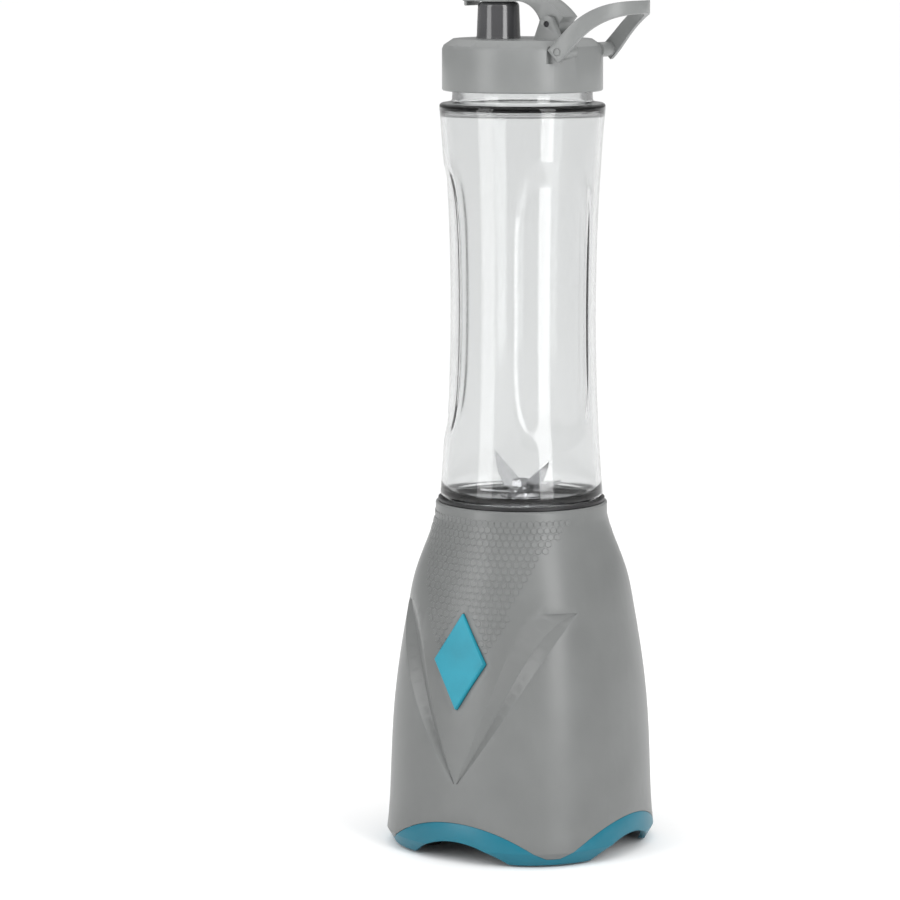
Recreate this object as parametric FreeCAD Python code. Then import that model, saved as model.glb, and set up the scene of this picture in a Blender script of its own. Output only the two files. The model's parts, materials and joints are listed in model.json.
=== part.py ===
import FreeCAD, Part
import math
import os
from FreeCAD import Vector

# Personal sports-bottle blender, millimetres, +Z up. The origin is on the drive axis at table level.
# The front, with the diamond button, faces -Y. The lid is symmetric about the XZ plane: its spout
# is towards -X and its carry loop towards +X.

os.makedirs("parts", exist_ok=True)

# ---------------------------------------------------------------- driving dimensions
# Base casing
RIM_Z = 160.0              # height of the base's top rim
RIM_BAND = 6.0             # height of the round band at the rim
FOOT_RADIUS = 61.8         # half width of the casing where it is widest
HOLDER_R = 36.2            # blade holder, which drops into the well
CUP_R = HOLDER_R + 1.8
RIM_RADIUS = CUP_R + 1.6   # half width of the rim
SQUARE_BULGE = 3.0         # how much further out the corners are than the flat faces, at the foot
ARC_SPLIT = 20.6           # direction in degrees where a face arc meets a corner arc
CASE_WALL = 2.6
TUCK_HEIGHT = 7.0          # height over which the skirt's lower edge tucks in
TUCK_DEPTH = 4.0
# share of the height from the tuck to the rim band, share of the narrowing from foot to rim
CASE_OUTLINE = ((0.0, 0.0), (0.24, 0.09), (0.466, 0.194), (0.62, 0.338), (0.728, 0.46),
                (0.823, 0.60), (0.905, 0.797), (0.966, 0.941), (1.0, 1.0))
# Skirt and feet
SKIRT_WALL = 3.0
SKIRT_GROUND_GAP = 1.0     # the skirt stays this far above the table
ARCH_RISE = 10.0           # arch between two feet, at the middle of a face
ARCH_HALF = 26.3           # half the arch's span
SEAM_RISE = 18.5           # top edge of the skirt at the middle of a face
SEAM_HALF = 45.3           # half span of the skirt's top edge at table level
SEAM_LOW = 4.0             # top edge of the skirt at a corner
SEAM_GAP = 0.15
PLATE_Z = 11.6
PLATE_THICK = 2.4
FOOT_SPREAD = 31.1         # x and y of each foot
FOOT_R = 6.0
# V relief and diamond button
VEE_APEX = (0.0, 35.0)
VEE_END = (45.0, 114.5)
VEE_BOW = 3.5              # how far each ridge bows out from the straight line between its ends
VEE_DEPTH = 5.0
VEE_WIDTH = 19.0           # from ridge to inner edge, if the relief did not close at its upper end
BUTTON_Z = 92.5
BUTTON_HALF_W = 13.0
BUTTON_HALF_H = 21.8
BUTTON_PROUD = 1.8
BUTTON_TILT = 8.5
BUTTON_GAP = 0.35
# Well, motor and drive
DECK_Z = RIM_Z - 45.0      # deck that carries the well, and that the motor hangs from
DECK_THICK = 3.0
CUP_WALL = 1.4
CUP_FLOOR = 2.5
KEY_COUNT = 3
MOTOR_R = 29.0
MOTOR_Z = DECK_Z - 65.0    # underside of the motor's iron core
STACK_HEIGHT = 32.0
SHAFT_R = 3.0
ARMATURE_R = 15.0
# Blade unit
HOLDER_WALL = 1.4
HOLDER_FLANGE_R = HOLDER_R + 2.2
BLADE_SHAFT_R = 3.0
BLADE_REACH = 20.0
# Bottle
BOTTLE_BOTTOM = RIM_Z + 1.9
BOTTLE_HEIGHT = 181.1      # of the waisted shell, without its screw collar and neck
BOTTLE_TOP = BOTTLE_BOTTOM + BOTTLE_HEIGHT
COLLAR_R = HOLDER_R - 3.1
COLLAR_WALL = 2.7
COLLAR_DEPTH = 11.0
BOTTLE_BOTTOM_R = COLLAR_R + 4.4
BOTTLE_WAIST_R = BOTTLE_BOTTOM_R - 3.5
BOTTLE_TOP_R = BOTTLE_BOTTOM_R + 0.5
BOTTLE_WALL = 2.5
NECK_R = BOTTLE_TOP_R - 5.8
NECK_WALL = 3.0
NECK_TOP = BOTTLE_TOP + 23.7
THREAD_LEAD = 24.0
THREAD_DEPTH = 1.3
THREAD_HEIGHT = 1.6
THREAD_TURN = 100.0
GRIP_COUNT = 3
GRIP_FIRST = -31.5         # direction in degrees of the first grip panel
GRIP_DEPTH = 0.9
GRIP_HALF_W = 19.5
GRIP_HALF_H = 61.0
# Lid
CAP_R = NECK_R + 4.5
CAP_Z = BOTTLE_TOP + 5.6
CAP_TOP = NECK_TOP + 5.3
CAP_SHOULDER = 3.0
CAP_FACE_R = CAP_R - 5.0
SPOUT_X = -12.8
SPOUT_R = 9.5
SPOUT_BORE = 7.0
SPOUT_TOP = CAP_TOP + 16.5
COVER_TIP_X = -28.0
COVER_THICK = 3.0
COVER_PIVOT = (18.0, CAP_TOP + 7.0)
COVER_ARM_HALF = 6.2
EAR_THICK = 3.0
PIN_R = 1.4
LOOP_PIVOT = (32.5, CAP_TOP - 4.8)
LOOP_INNER = 22.3
LOOP_THICK = 2.5
LOOP_TIP_X = 63.2
TRUNNION_R = 1.6
# Clearances
GAP = 0.3                  # between bodies that move past each other
FIT = 0.1                  # running fits, and pieces of one body that are set into each other

Z = Vector(0, 0, 1)
NAMES = []


# ---------------------------------------------------------------- small helpers
def save(name, *solids):
    shape = solids[0] if len(solids) == 1 else Part.makeCompound(list(solids))
    shape.exportStep("parts/" + name + ".step")
    NAMES.append(name)


def rod(radius, z0, z1, x=0.0, y=0.0):
    return Part.makeCylinder(radius, z1 - z0, Vector(x, y, z0))


def tube(outer, inner, z0, z1, x=0.0, y=0.0):
    return rod(outer, z0, z1, x, y).cut(rod(inner, z0 - 1, z1 + 1, x, y))


def block(x0, x1, y0, y1, z0, z1):
    return Part.makeBox(x1 - x0, y1 - y0, z1 - z0, Vector(x0, y0, z0))


def rod_along_y(radius, y0, y1, x, z):
    return Part.makeCylinder(radius, y1 - y0, Vector(x, y0, z), Vector(0, 1, 0))


def turned(points):
    """A solid of revolution about Z from a closed outline of (radius, z) points."""
    outline = [Vector(r, 0, z) for r, z in points]
    face = Part.Face(Part.makePolygon(outline + outline[:1]))
    return face.revolve(Vector(), Z, 360)


def sector(outer, inner, start, stop, z0, z1):
    """Part of a ring, between two directions in degrees."""
    ring = Part.makeCylinder(outer, z1 - z0, Vector(0, 0, z0), Z, stop - start)
    ring = ring.cut(rod(inner, z0 - 1, z1 + 1))
    return spun(ring, start)


def spun(shape, angle):
    copy = shape.copy()
    copy.rotate(Vector(), Z, angle)
    return copy


def ring_of(shape, count, first=0.0):
    return [spun(shape, first + 360.0 * i / count) for i in range(count)]


def moved(shape, x=0.0, y=0.0, z=0.0):
    copy = shape.copy()
    copy.translate(Vector(x, y, z))
    return copy


def cut_all(shape, tools):
    for tool in tools:
        shape = shape.cut(tool)
    return shape


def fuse_all(shape, tools):
    for tool in tools:
        shape = shape.fuse(tool)
    return shape.removeSplitter()


def hexagon(corner_r, z0, z1):
    corners = [Vector(corner_r * math.cos(math.radians(60 * i)),
                      corner_r * math.sin(math.radians(60 * i)), z0) for i in range(6)]
    return Part.Face(Part.makePolygon(corners + corners[:1])).extrude(Vector(0, 0, z1 - z0))


def prism_y(points, half_width):
    """An outline of (x, z) points made into a solid from -half_width to +half_width."""
    outline = [Vector(x, -half_width, z) for x, z in points]
    face = Part.Face(Part.makePolygon(outline + outline[:1]))
    return face.extrude(Vector(0, 2 * half_width, 0))


def coil_spring(radius, wire, length, turns):
    """A compression spring along +Z from z = 0, which is the middle of its first turn."""
    helix = Part.makeHelix(length / turns, length, radius)
    sides = 10
    section = [Vector(radius + wire * math.cos(2 * math.pi * i / sides), 0,
                      wire * math.sin(2 * math.pi * i / sides)) for i in range(sides)]
    profile = Part.makePolygon(section + section[:1])
    return Part.Wire(helix).makePipeShell([profile], True, True)


def thread_ridge(root, depth, height, start, turn, z):
    """A ridge of a coarse thread standing out from radius root. A negative depth stands inwards."""
    rise = THREAD_LEAD * turn / 360.0
    helix = Part.makeHelix(THREAD_LEAD, rise, root)
    slope = height * 0.22
    sink = -0.4 if depth > 0 else 0.4
    outline = [Vector(root + sink, 0, -height / 2), Vector(root + depth, 0, -height / 2 + slope),
               Vector(root + depth, 0, height / 2 - slope), Vector(root + sink, 0, height / 2)]
    profile = Part.makePolygon(outline + outline[:1])
    ridge = Part.Wire(helix).makePipeShell([profile], True, True)
    ridge.translate(Vector(0, 0, z))
    return spun(ridge, start)


# ---------------------------------------------------------------- casing form
CASE_TOP = RIM_Z - RIM_BAND


def case_section(z, radius, square, inset=0.0):
    """Closed outline of the casing at a height: four face arcs and four corner arcs, all tangent."""
    face = radius - 0.7 * SQUARE_BULGE * square - inset
    corner = radius + 0.3 * SQUARE_BULGE * square - inset
    a = math.radians(ARC_SPLIT)
    spread = math.sqrt(2) - 1
    step = (corner - face) / (math.cos(a) - 1 + spread * math.sin(a))
    k = step * math.sin(a)
    corner_arc = corner - math.sqrt(2) * k
    face_arc = step + corner_arc
    edges = []
    for quarter in range(4):
        turn = math.radians(90 * quarter)
        for cx, cy, arc, a0, a1 in ((face - face_arc, 0.0, face_arc, -a, a),
                                    (k, k, corner_arc, a, math.pi / 2 - a)):
            points = []
            for angle in (a0, (a0 + a1) / 2, a1):
                x = cx + arc * math.cos(angle)
                y = cy + arc * math.sin(angle)
                points.append(Vector(x * math.cos(turn) - y * math.sin(turn),
                                     x * math.sin(turn) + y * math.cos(turn), z))
            edges.append(Part.Arc(*points).toShape())
    return Part.Wire(edges)


def case_outline(inset=0.0, top=CASE_TOP):
    sections = []
    for height_share, narrowing in CASE_OUTLINE:
        z = TUCK_HEIGHT + height_share * (CASE_TOP - TUCK_HEIGHT)
        if z > top + 0.01:
            break
        radius = FOOT_RADIUS - narrowing * (FOOT_RADIUS - RIM_RADIUS)
        sections.append(case_section(z, radius, 1.0 - narrowing, inset))
    return sections


def tuck(inset=0.0, bottom=SKIRT_GROUND_GAP):
    """The lowest part of the form, which narrows towards the table."""
    share = (TUCK_HEIGHT - bottom) / TUCK_HEIGHT
    lower = case_section(bottom, FOOT_RADIUS - TUCK_DEPTH * share, 1.0, inset)
    upper = case_section(TUCK_HEIGHT, FOOT_RADIUS, 1.0, inset)
    return Part.makeLoft([lower, upper], True, True)


def case_form(inset=0.0, top=CASE_TOP):
    return Part.makeLoft(case_outline(inset, top), True, False).fuse(tuck(inset))


def arch(rise, half_span, grow=0.0):
    """Two crossing horizontal cylinders whose tops rise to the given height over the faces."""
    radius = (half_span ** 2 + rise ** 2) / (2 * rise)
    reach = FOOT_RADIUS + 20
    z = rise - radius
    along_x = Part.makeCylinder(radius + grow, 2 * reach, Vector(-reach, 0, z), Vector(1, 0, 0))
    along_y = Part.makeCylinder(radius + grow, 2 * reach, Vector(0, -reach, z), Vector(0, 1, 0))
    return along_x.fuse(along_y)


OUTER = case_form()


def on_front(x, z):
    """The point of the casing's front surface at a given x and height."""
    line = Part.makeLine(Vector(x, 0, z), Vector(x, -FOOT_RADIUS - 20, z))
    return min((v.Point for v in OUTER.common(line).Vertexes), key=lambda p: p.y)


def sunk(x, z, depth):
    """A point under the front surface, at a depth measured towards the drive axis."""
    point = on_front(x, z)
    return point - Vector(point.x, point.y, 0).normalize() * depth


def vee_section(side, share, sink):
    """A wedge across one arm of the V: a wall under the ridge, and a slope back up to the shield."""
    run_x = VEE_END[0] - VEE_APEX[0]
    run_z = VEE_END[1] - VEE_APEX[1]
    out_x = run_z / math.hypot(run_x, run_z)
    out_z = -run_x / math.hypot(run_x, run_z)
    bow = VEE_BOW * 4 * share * (1 - share)
    ridge_x = VEE_APEX[0] + share * run_x + bow * out_x
    ridge_z = VEE_APEX[1] + share * run_z + bow * out_z
    width = max(VEE_WIDTH * share ** 0.85 * math.sqrt(1 - share ** 8), 0.8)
    deep = 0.3 + VEE_DEPTH * share ** 0.8 * (1 - share ** 7)
    floor_at = (0.45 - 0.25 * share ** 3) * width
    ridge = sunk(side * ridge_x, ridge_z, sink)
    inner = sunk(side * (ridge_x - out_x * width), ridge_z - out_z * width, sink)
    floor = sunk(side * (ridge_x - out_x * floor_at), ridge_z - out_z * floor_at, sink + deep)
    ridge_out = floor + (ridge - floor) * 1.5
    inner_out = floor + (inner - floor) * 1.12
    middle = (ridge_out + inner_out) * 0.5
    clear = middle + (middle - floor).normalize() * 7.0
    return Part.makePolygon([floor, ridge_out, clear, inner_out, floor])


def vee_tool(side, sink=0.0, steps=16):
    """Cuts one arm of the V relief, from near the apex to the end of the arm."""
    shares = [0.02 + 0.98 * i / steps for i in range(steps + 1)]
    return Part.makeLoft([vee_section(side, share, sink) for share in shares], True, True)


VEE_SINK = 1.1 * CASE_WALL
vees = [vee_tool(1), vee_tool(-1)]
vee_backs = [vee_tool(1, VEE_SINK, 8), vee_tool(-1, VEE_SINK, 8)]

# ---------------------------------------------------------------- diamond button frame
# Local frame of the button: z is the outward normal of the front face, y runs up the face.
BUTTON_AT = on_front(0.0, BUTTON_Z)
BUTTON_PLACE = FreeCAD.Placement(BUTTON_AT, FreeCAD.Rotation(Vector(1, 0, 0), 90 - BUTTON_TILT))
COLLAR_BACK = -8.0
FLANGE_TOP = COLLAR_BACK - GAP
FLANGE_THICK = 1.5
BUTTON_EAR = BUTTON_HALF_W + 3.2
BOSS_R = 3.0
BOSS_BACK = FLANGE_TOP - FLANGE_THICK - 2.0
BRACKET_FACE = BOSS_BACK - 5.7
BRACKET_THICK = 2.0
POST_AT = BUTTON_HALF_W + 7.2
POST_R = 3.4
POST_BACK = -11.5


def diamond(grow, z0, z1):
    """The button's outline, its edges moved out by grow, as a prism in the button's frame."""
    slant = math.hypot(BUTTON_HALF_W, BUTTON_HALF_H)
    half_w = BUTTON_HALF_W + grow * slant / BUTTON_HALF_H
    half_h = BUTTON_HALF_H + grow * slant / BUTTON_HALF_W
    corners = [Vector(half_w, 0, z0), Vector(0, half_h, z0), Vector(-half_w, 0, z0),
               Vector(0, -half_h, z0)]
    face = Part.Face(Part.makePolygon(corners + corners[:1]))
    return face.extrude(Vector(0, 0, z1 - z0))


def at_button(shape):
    copy = shape.copy()
    copy.Placement = BUTTON_PLACE.multiply(copy.Placement)
    return copy


# ---------------------------------------------------------------- base_housing
WELL_R = CUP_R + 2 * FIT
WELL_LINER = 2.4
DECK_TOP = DECK_Z + DECK_THICK
CAVITY_TOP = RIM_Z - 19.0

rim = rod(RIM_RADIUS, CASE_TOP - 0.01, RIM_Z)
rim = rim.makeFillet(1.0, [e for e in rim.Edges if e.BoundBox.ZMin > CASE_TOP + 1])
seam_tool = arch(SEAM_RISE, SEAM_HALF)
seam_floor = block(-90, 90, -90, 90, -60, SEAM_LOW)

cavity = case_form(CASE_WALL, CAVITY_TOP)
cavity = cavity.fuse(tuck(CASE_WALL, 0.0))
cavity = cavity.cut(rod(WELL_R + WELL_LINER, DECK_Z, RIM_Z + 10))
cavity = cut_all(cavity, vee_backs)

relief = cut_all(OUTER, vees)
housing = relief.fuse(rim)
housing = housing.cut(cavity)
housing = housing.cut(rod(WELL_R, DECK_TOP, RIM_Z + 10))
housing = housing.cut(rod(13.0, DECK_Z - 5, DECK_TOP + 5))

# Guide collar and bracket posts behind the button
button_extras = at_button(diamond(BUTTON_GAP + 2.0, COLLAR_BACK, -0.5))
for sign in (-1, 1):
    button_extras = button_extras.fuse(at_button(rod(POST_R, POST_BACK, -0.5, sign * POST_AT, 0)))
button_extras = button_extras.common(relief)
# Posts for the bottom screws, each with a rib to its corner
corner_rib = block(FOOT_SPREAD * math.sqrt(2), FOOT_RADIUS + 2, -1.2, 1.2, 16, 58)
corner_post = rod(4.5, PLATE_Z + PLATE_THICK + FIT, 62, FOOT_SPREAD * math.sqrt(2), 0)
bottom_posts = ring_of(corner_post.fuse(corner_rib.common(spun(OUTER, -45))), 4, 45)
# Posts that the motor hangs from
EAR_X = 34.0
EAR_POST_Z = DECK_Z - 14.8
motor_posts = [rod(4.6, EAR_POST_Z, DECK_Z + 0.5, s * EAR_X, 0) for s in (-1, 1)]
housing = fuse_all(housing, [button_extras] + bottom_posts + motor_posts)

SCREW_R = 1.7
SCREW_HOLE = SCREW_R + FIT
housing = housing.cut(at_button(diamond(BUTTON_GAP, -14, 9)))
for sign in (-1, 1):
    housing = housing.cut(rod(SCREW_HOLE, EAR_POST_Z - 1, DECK_Z - 2, sign * EAR_X, 0))
housing = cut_all(housing, ring_of(rod(SCREW_HOLE, 10, 36, FOOT_SPREAD * math.sqrt(2), 0), 4, 45))
SEAT_SCREW_AT = 24.0
housing = cut_all(housing, ring_of(rod(SCREW_HOLE, DECK_Z - 1, DECK_TOP + 1, SEAT_SCREW_AT, 0),
                                   KEY_COUNT, 30))
# Rear hole for the cord's inlet bush
INLET_Z = 32.0
INLET_R = 5.6
INLET_BORE = 3.2
housing = housing.cut(rod_along_y(INLET_R + FIT, 30, 90, 0, INLET_Z))
# Vent slots at the rear, above the inlet
VENT_Z = 46.0
VENT_PITCH = 6.0
VENT_HEIGHT = 2.4
for row in range(4):
    vent_z = VENT_Z + VENT_PITCH * row
    housing = housing.cut(block(-16, 16, 40, 90, vent_z, vent_z + VENT_HEIGHT))
housing = housing.cut(arch(SEAM_RISE, SEAM_HALF, SEAM_GAP))
housing = housing.cut(block(-90, 90, -90, 90, -60, SEAM_LOW + SEAM_GAP))
save("base_housing", housing)

# ---------------------------------------------------------------- base_skirt
skirt = OUTER.common(seam_tool.fuse(seam_floor).common(block(-90, 90, -90, 90, 0, 30)))
skirt_hollow = case_form(SKIRT_WALL, CAVITY_TOP).fuse(tuck(SKIRT_WALL, 0.0))
skirt = skirt.cut(skirt_hollow)
LEDGE_DEPTH = 2.2
ledge_outer = Part.makeLoft([case_section(z, FOOT_RADIUS, 1.0, SKIRT_WALL - 0.4)
                             for z in (PLATE_Z - 1.2, PLATE_Z - FIT)], True, True)
ledge_inner = Part.makeLoft([case_section(z, FOOT_RADIUS, 1.0, SKIRT_WALL + LEDGE_DEPTH)
                             for z in (PLATE_Z - 2, PLATE_Z + 1)], True, True)
ledge = ledge_outer.cut(ledge_inner).common(seam_tool)
skirt = skirt.fuse(ledge).removeSplitter()
skirt = skirt.cut(arch(ARCH_RISE, ARCH_HALF))
save("base_skirt", skirt)

# ---------------------------------------------------------------- bottom_plate, feet and screws
PLATE_TOP = PLATE_Z + PLATE_THICK
PILLAR_R = FOOT_R + 1.6
FOOT_HEIGHT = 4.5
HEAD_R = 3.2
HEAD_HEIGHT = 2.4
pillar_at = FOOT_SPREAD * math.sqrt(2)
PLATE_INSET = SKIRT_WALL + 1.0
plate = Part.makeLoft([case_section(z, FOOT_RADIUS, 1.0, PLATE_INSET)
                       for z in (PLATE_Z, PLATE_TOP)], True, True)
plate = fuse_all(plate, ring_of(rod(PILLAR_R, SKIRT_GROUND_GAP + 0.3, PLATE_Z + 0.2, pillar_at, 0),
                                4, 45))
plate = cut_all(plate, ring_of(rod(FOOT_R + FIT, -1, FOOT_HEIGHT + FIT, pillar_at, 0), 4, 45))
plate = cut_all(plate, ring_of(rod(HEAD_R + GAP, 0, FOOT_HEIGHT + 3.5, pillar_at, 0), 4, 45))
plate = cut_all(plate, ring_of(rod(SCREW_HOLE, 0, PLATE_TOP + 1, pillar_at, 0), 4, 45))
for row in range(-3, 4):
    plate = plate.cut(block(-20, 20, row * 6.0 - 1.3, row * 6.0 + 1.3, PLATE_Z - 1, PLATE_TOP + 1))
save("bottom_plate", plate)

foot = rod(FOOT_R, 0, FOOT_HEIGHT, pillar_at, 0)
foot = foot.makeFillet(0.8, [e for e in foot.Edges if e.BoundBox.ZMax < 0.1])
save("rubber_feet", *ring_of(foot, 4, 45))

HEAD_Z = FOOT_HEIGHT + 3.5 - HEAD_HEIGHT - FIT
bottom_screw = rod(HEAD_R, HEAD_Z, HEAD_Z + HEAD_HEIGHT, pillar_at, 0)
bottom_screw = bottom_screw.fuse(rod(SCREW_R, HEAD_Z + HEAD_HEIGHT, 34, pillar_at, 0))
bottom_screw = bottom_screw.cut(block(pillar_at - 2.2, pillar_at + 2.2, -0.4, 0.4, 0, HEAD_Z + 1))
save("bottom_screws", *ring_of(bottom_screw.removeSplitter(), 4, 45))

# ---------------------------------------------------------------- well: seat_cup, gasket, screws
CUP_INNER = CUP_R - CUP_WALL
CUP_Z = DECK_TOP + FIT
CUP_FLOOR_TOP = CUP_Z + CUP_FLOOR
SPILL_R = 14.2
cup = turned([(SPILL_R, CUP_Z), (CUP_R, CUP_Z), (CUP_R, RIM_Z - 0.4), (CUP_INNER + 0.3, RIM_Z - 0.4),
              (CUP_INNER, RIM_Z - 1.0), (CUP_INNER, CUP_FLOOR_TOP), (SPILL_R + 1.8, CUP_FLOOR_TOP),
              (SPILL_R + 1.8, CUP_FLOOR_TOP + 5), (SPILL_R, CUP_FLOOR_TOP + 5)])
KEY_WIDTH = 6.0
KEY_DEPTH = 1.5
KEY_TOP = CUP_FLOOR_TOP + 24
key = block(CUP_INNER - KEY_DEPTH, CUP_INNER + 0.5, -KEY_WIDTH / 2, KEY_WIDTH / 2,
            CUP_FLOOR_TOP - 0.5, KEY_TOP)
cup = fuse_all(cup, ring_of(key, KEY_COUNT, -90))
cup = cut_all(cup, ring_of(rod(SCREW_HOLE, DECK_Z, DECK_Z + 15, SEAT_SCREW_AT, 0), KEY_COUNT, 30))
save("seat_cup", cup)

SEAT_GASKET = 1.5
HOLDER_SKIRT_R = 32.6
save("seat_gasket", tube(CUP_INNER - KEY_DEPTH - FIT, HOLDER_SKIRT_R - 1.5, CUP_FLOOR_TOP,
                         CUP_FLOOR_TOP + SEAT_GASKET))
seat_screw = rod(HEAD_R, CUP_FLOOR_TOP, CUP_FLOOR_TOP + 2, SEAT_SCREW_AT, 0)
seat_screw = seat_screw.fuse(rod(SCREW_R, DECK_Z - 3, CUP_FLOOR_TOP, SEAT_SCREW_AT, 0))
seat_screw = seat_screw.cut(block(SEAT_SCREW_AT - 2.2, SEAT_SCREW_AT + 2.2, -0.4, 0.4,
                                  CUP_FLOOR_TOP + 1.2, CUP_FLOOR_TOP + 3))
save("seat_screws", *ring_of(seat_screw.removeSplitter(), KEY_COUNT, 30))

# ---------------------------------------------------------------- motor, fixed pieces
STACK_TOP = MOTOR_Z + STACK_HEIGHT
YOKE_R = MOTOR_R - 6.0
POLE_BORE = ARMATURE_R + 0.7
POLE_HALF = 50.0
BUSH_R = 5.0
BUSH_HEIGHT = 6.0
BRACKET_Z = STACK_TOP + 10.0
BRACKET_T = 3.0
LOWER_Z = MOTOR_Z - 21.0
BOLT_R = 1.6
BOLT_AT = MOTOR_R - 3.0

core = tube(MOTOR_R, YOKE_R, MOTOR_Z, STACK_TOP)
poles = [sector(YOKE_R + 0.5, POLE_BORE, a - POLE_HALF, a + POLE_HALF, MOTOR_Z, STACK_TOP)
         for a in (90, 270)]
core = fuse_all(core, poles)
core = cut_all(core, [rod(BOLT_R + FIT, MOTOR_Z - 1, STACK_TOP + 1, s * BOLT_AT, 0) for s in (-1, 1)])
save("stator_core", core)

COIL_OUT = YOKE_R - 0.4
COIL_IN = POLE_BORE + 1.3
COIL_END = 6.0
coils = []
for a in (90, 270):
    coil = sector(COIL_OUT, COIL_IN, a - 76, a + 76, MOTOR_Z - COIL_END, STACK_TOP + COIL_END)
    window = sector(COIL_OUT + 5, COIL_IN - 5, a - POLE_HALF - 1.5, a + POLE_HALF + 1.5,
                    MOTOR_Z - 0.4, STACK_TOP + 0.4)
    coils.append(coil.cut(window))
save("field_coils", *coils)

LEG_ARC = 20.0
ear = block(MOTOR_R - 6, EAR_X, -5.5, 5.5, BRACKET_Z, BRACKET_Z + BRACKET_T)
ear = ear.fuse(rod(5.5, BRACKET_Z, BRACKET_Z + BRACKET_T, EAR_X, 0))
leg = sector(MOTOR_R - 0.4, YOKE_R + 0.2, -LEG_ARC, LEG_ARC, STACK_TOP, BRACKET_Z + 0.5)
bar = block(-MOTOR_R + 3, MOTOR_R - 3, -9, 9, BRACKET_Z, BRACKET_Z + BRACKET_T)
boss = rod(BUSH_R + 2.5, BRACKET_Z - 2, BRACKET_Z + BUSH_HEIGHT)
upper = fuse_all(bar, [boss] + ring_of(ear.fuse(leg), 2))
upper = upper.cut(rod(BUSH_R, BRACKET_Z - 5, BRACKET_Z + BUSH_HEIGHT - 1))
upper = upper.cut(rod(SHAFT_R + 0.6, BRACKET_Z - 5, BRACKET_Z + BUSH_HEIGHT + 1))
upper = cut_all(upper, ring_of(rod(SCREW_HOLE, BRACKET_Z - 1, BRACKET_Z + 5, EAR_X, 0), 2))
upper = cut_all(upper, ring_of(rod(BOLT_R + FIT, MOTOR_Z, BRACKET_Z + 5, BOLT_AT, 0), 2))
save("upper_bracket", upper)

BRUSH_Z = MOTOR_Z - 11.5
BRUSH_HALF_W = 2.5
BRUSH_HALF_H = 2.2
COMMUTATOR_R = 8.0
HOLDER_END = 22.5
lower_leg = sector(MOTOR_R - 0.4, YOKE_R + 0.2, -LEG_ARC, LEG_ARC, LOWER_Z, MOTOR_Z)
lower = tube(MOTOR_R - 0.4, 10.5, LOWER_Z, LOWER_Z + BRACKET_T)
lower = lower.fuse(tube(11.0, BUSH_R, LOWER_Z, LOWER_Z + BUSH_HEIGHT - 1))
lower = cut_all(lower, ring_of(sector(YOKE_R - 3, 12.5, 14, 60, LOWER_Z - 1, LOWER_Z + 4), 4, 8))
brush_stand = block(12, HOLDER_END - 2, -2, 2, LOWER_Z + 1, BRUSH_Z - BRUSH_HALF_H - 1)
lower = fuse_all(lower, ring_of(lower_leg, 2) + ring_of(brush_stand, 2, 90))
lower = cut_all(lower, ring_of(rod(BOLT_R + FIT, LOWER_Z - 1, MOTOR_Z + 1, BOLT_AT, 0), 2))
save("lower_bracket", lower)

bolt = rod(BOLT_R, LOWER_Z - 2, BRACKET_Z + BRACKET_T + 2, BOLT_AT, 0)
bolt = fuse_all(bolt, [rod(BOLT_R + 1.4, LOWER_Z - 2, LOWER_Z, BOLT_AT, 0),
                       rod(BOLT_R + 1.2, BRACKET_Z + BRACKET_T, BRACKET_Z + BRACKET_T + 2, BOLT_AT, 0)])
save("through_bolts", *ring_of(bolt, 2))

damper = tube(4.6, SCREW_HOLE + 0.3, BRACKET_Z + BRACKET_T, EAR_POST_Z, EAR_X, 0)
save("motor_dampers", *ring_of(damper, 2))
motor_screw = rod(SCREW_R, BRACKET_Z, DECK_Z - 3, EAR_X, 0)
motor_screw = motor_screw.fuse(rod(HEAD_R, BRACKET_Z - 2, BRACKET_Z, EAR_X, 0)).removeSplitter()
save("motor_screws", *ring_of(motor_screw, 2))
RUN = 0.05                 # running fit of a shaft in its bush
save("shaft_bushings",
     tube(BUSH_R, SHAFT_R + RUN, BRACKET_Z - 1.5, BRACKET_Z + BUSH_HEIGHT - 1),
     tube(BUSH_R, SHAFT_R + RUN, LOWER_Z, LOWER_Z + BUSH_HEIGHT - 1))

holders = []
brushes = []
springs = []
BRUSH_TIP = COMMUTATOR_R + 0.1
BRUSH_END = BRUSH_TIP + 7.5
for angle in (90, 270):
    case = block(10.0, HOLDER_END, -BRUSH_HALF_W - 1, BRUSH_HALF_W + 1,
                 BRUSH_Z - BRUSH_HALF_H - 1, BRUSH_Z + BRUSH_HALF_H + 1)
    case = case.cut(block(9.0, HOLDER_END - 1, -BRUSH_HALF_W - FIT, BRUSH_HALF_W + FIT,
                          BRUSH_Z - BRUSH_HALF_H - FIT, BRUSH_Z + BRUSH_HALF_H + FIT))
    holders.append(spun(case, angle))
    brush = block(BRUSH_TIP, BRUSH_END, -BRUSH_HALF_W, BRUSH_HALF_W,
                  BRUSH_Z - BRUSH_HALF_H, BRUSH_Z + BRUSH_HALF_H)
    brushes.append(spun(brush.cut(rod(COMMUTATOR_R + 0.1, BRUSH_Z - 5, BRUSH_Z + 5)), angle))
    spring_room = HOLDER_END - 1 - BRUSH_END
    spring = coil_spring(1.4, 0.25, spring_room - 0.7, 4)
    spring.rotate(Vector(), Vector(0, 1, 0), 90)
    spring.translate(Vector(BRUSH_END + 0.35, 0, BRUSH_Z))
    springs.append(spun(spring, angle))
save("brush_holders", *holders)
save("carbon_brushes", *brushes)
save("brush_springs", *springs)

# ---------------------------------------------------------------- armature
COUPLING_Z = DECK_Z + 7.0
COUPLING_H = 8.0
COUPLING_R = 11.0
FAN_Z = MOTOR_Z - 32.0
FAN_H = 9.0
FAN_R = 27.0
save("motor_shaft", rod(SHAFT_R, FAN_Z - 1, COUPLING_Z + COUPLING_H - 1))

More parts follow.
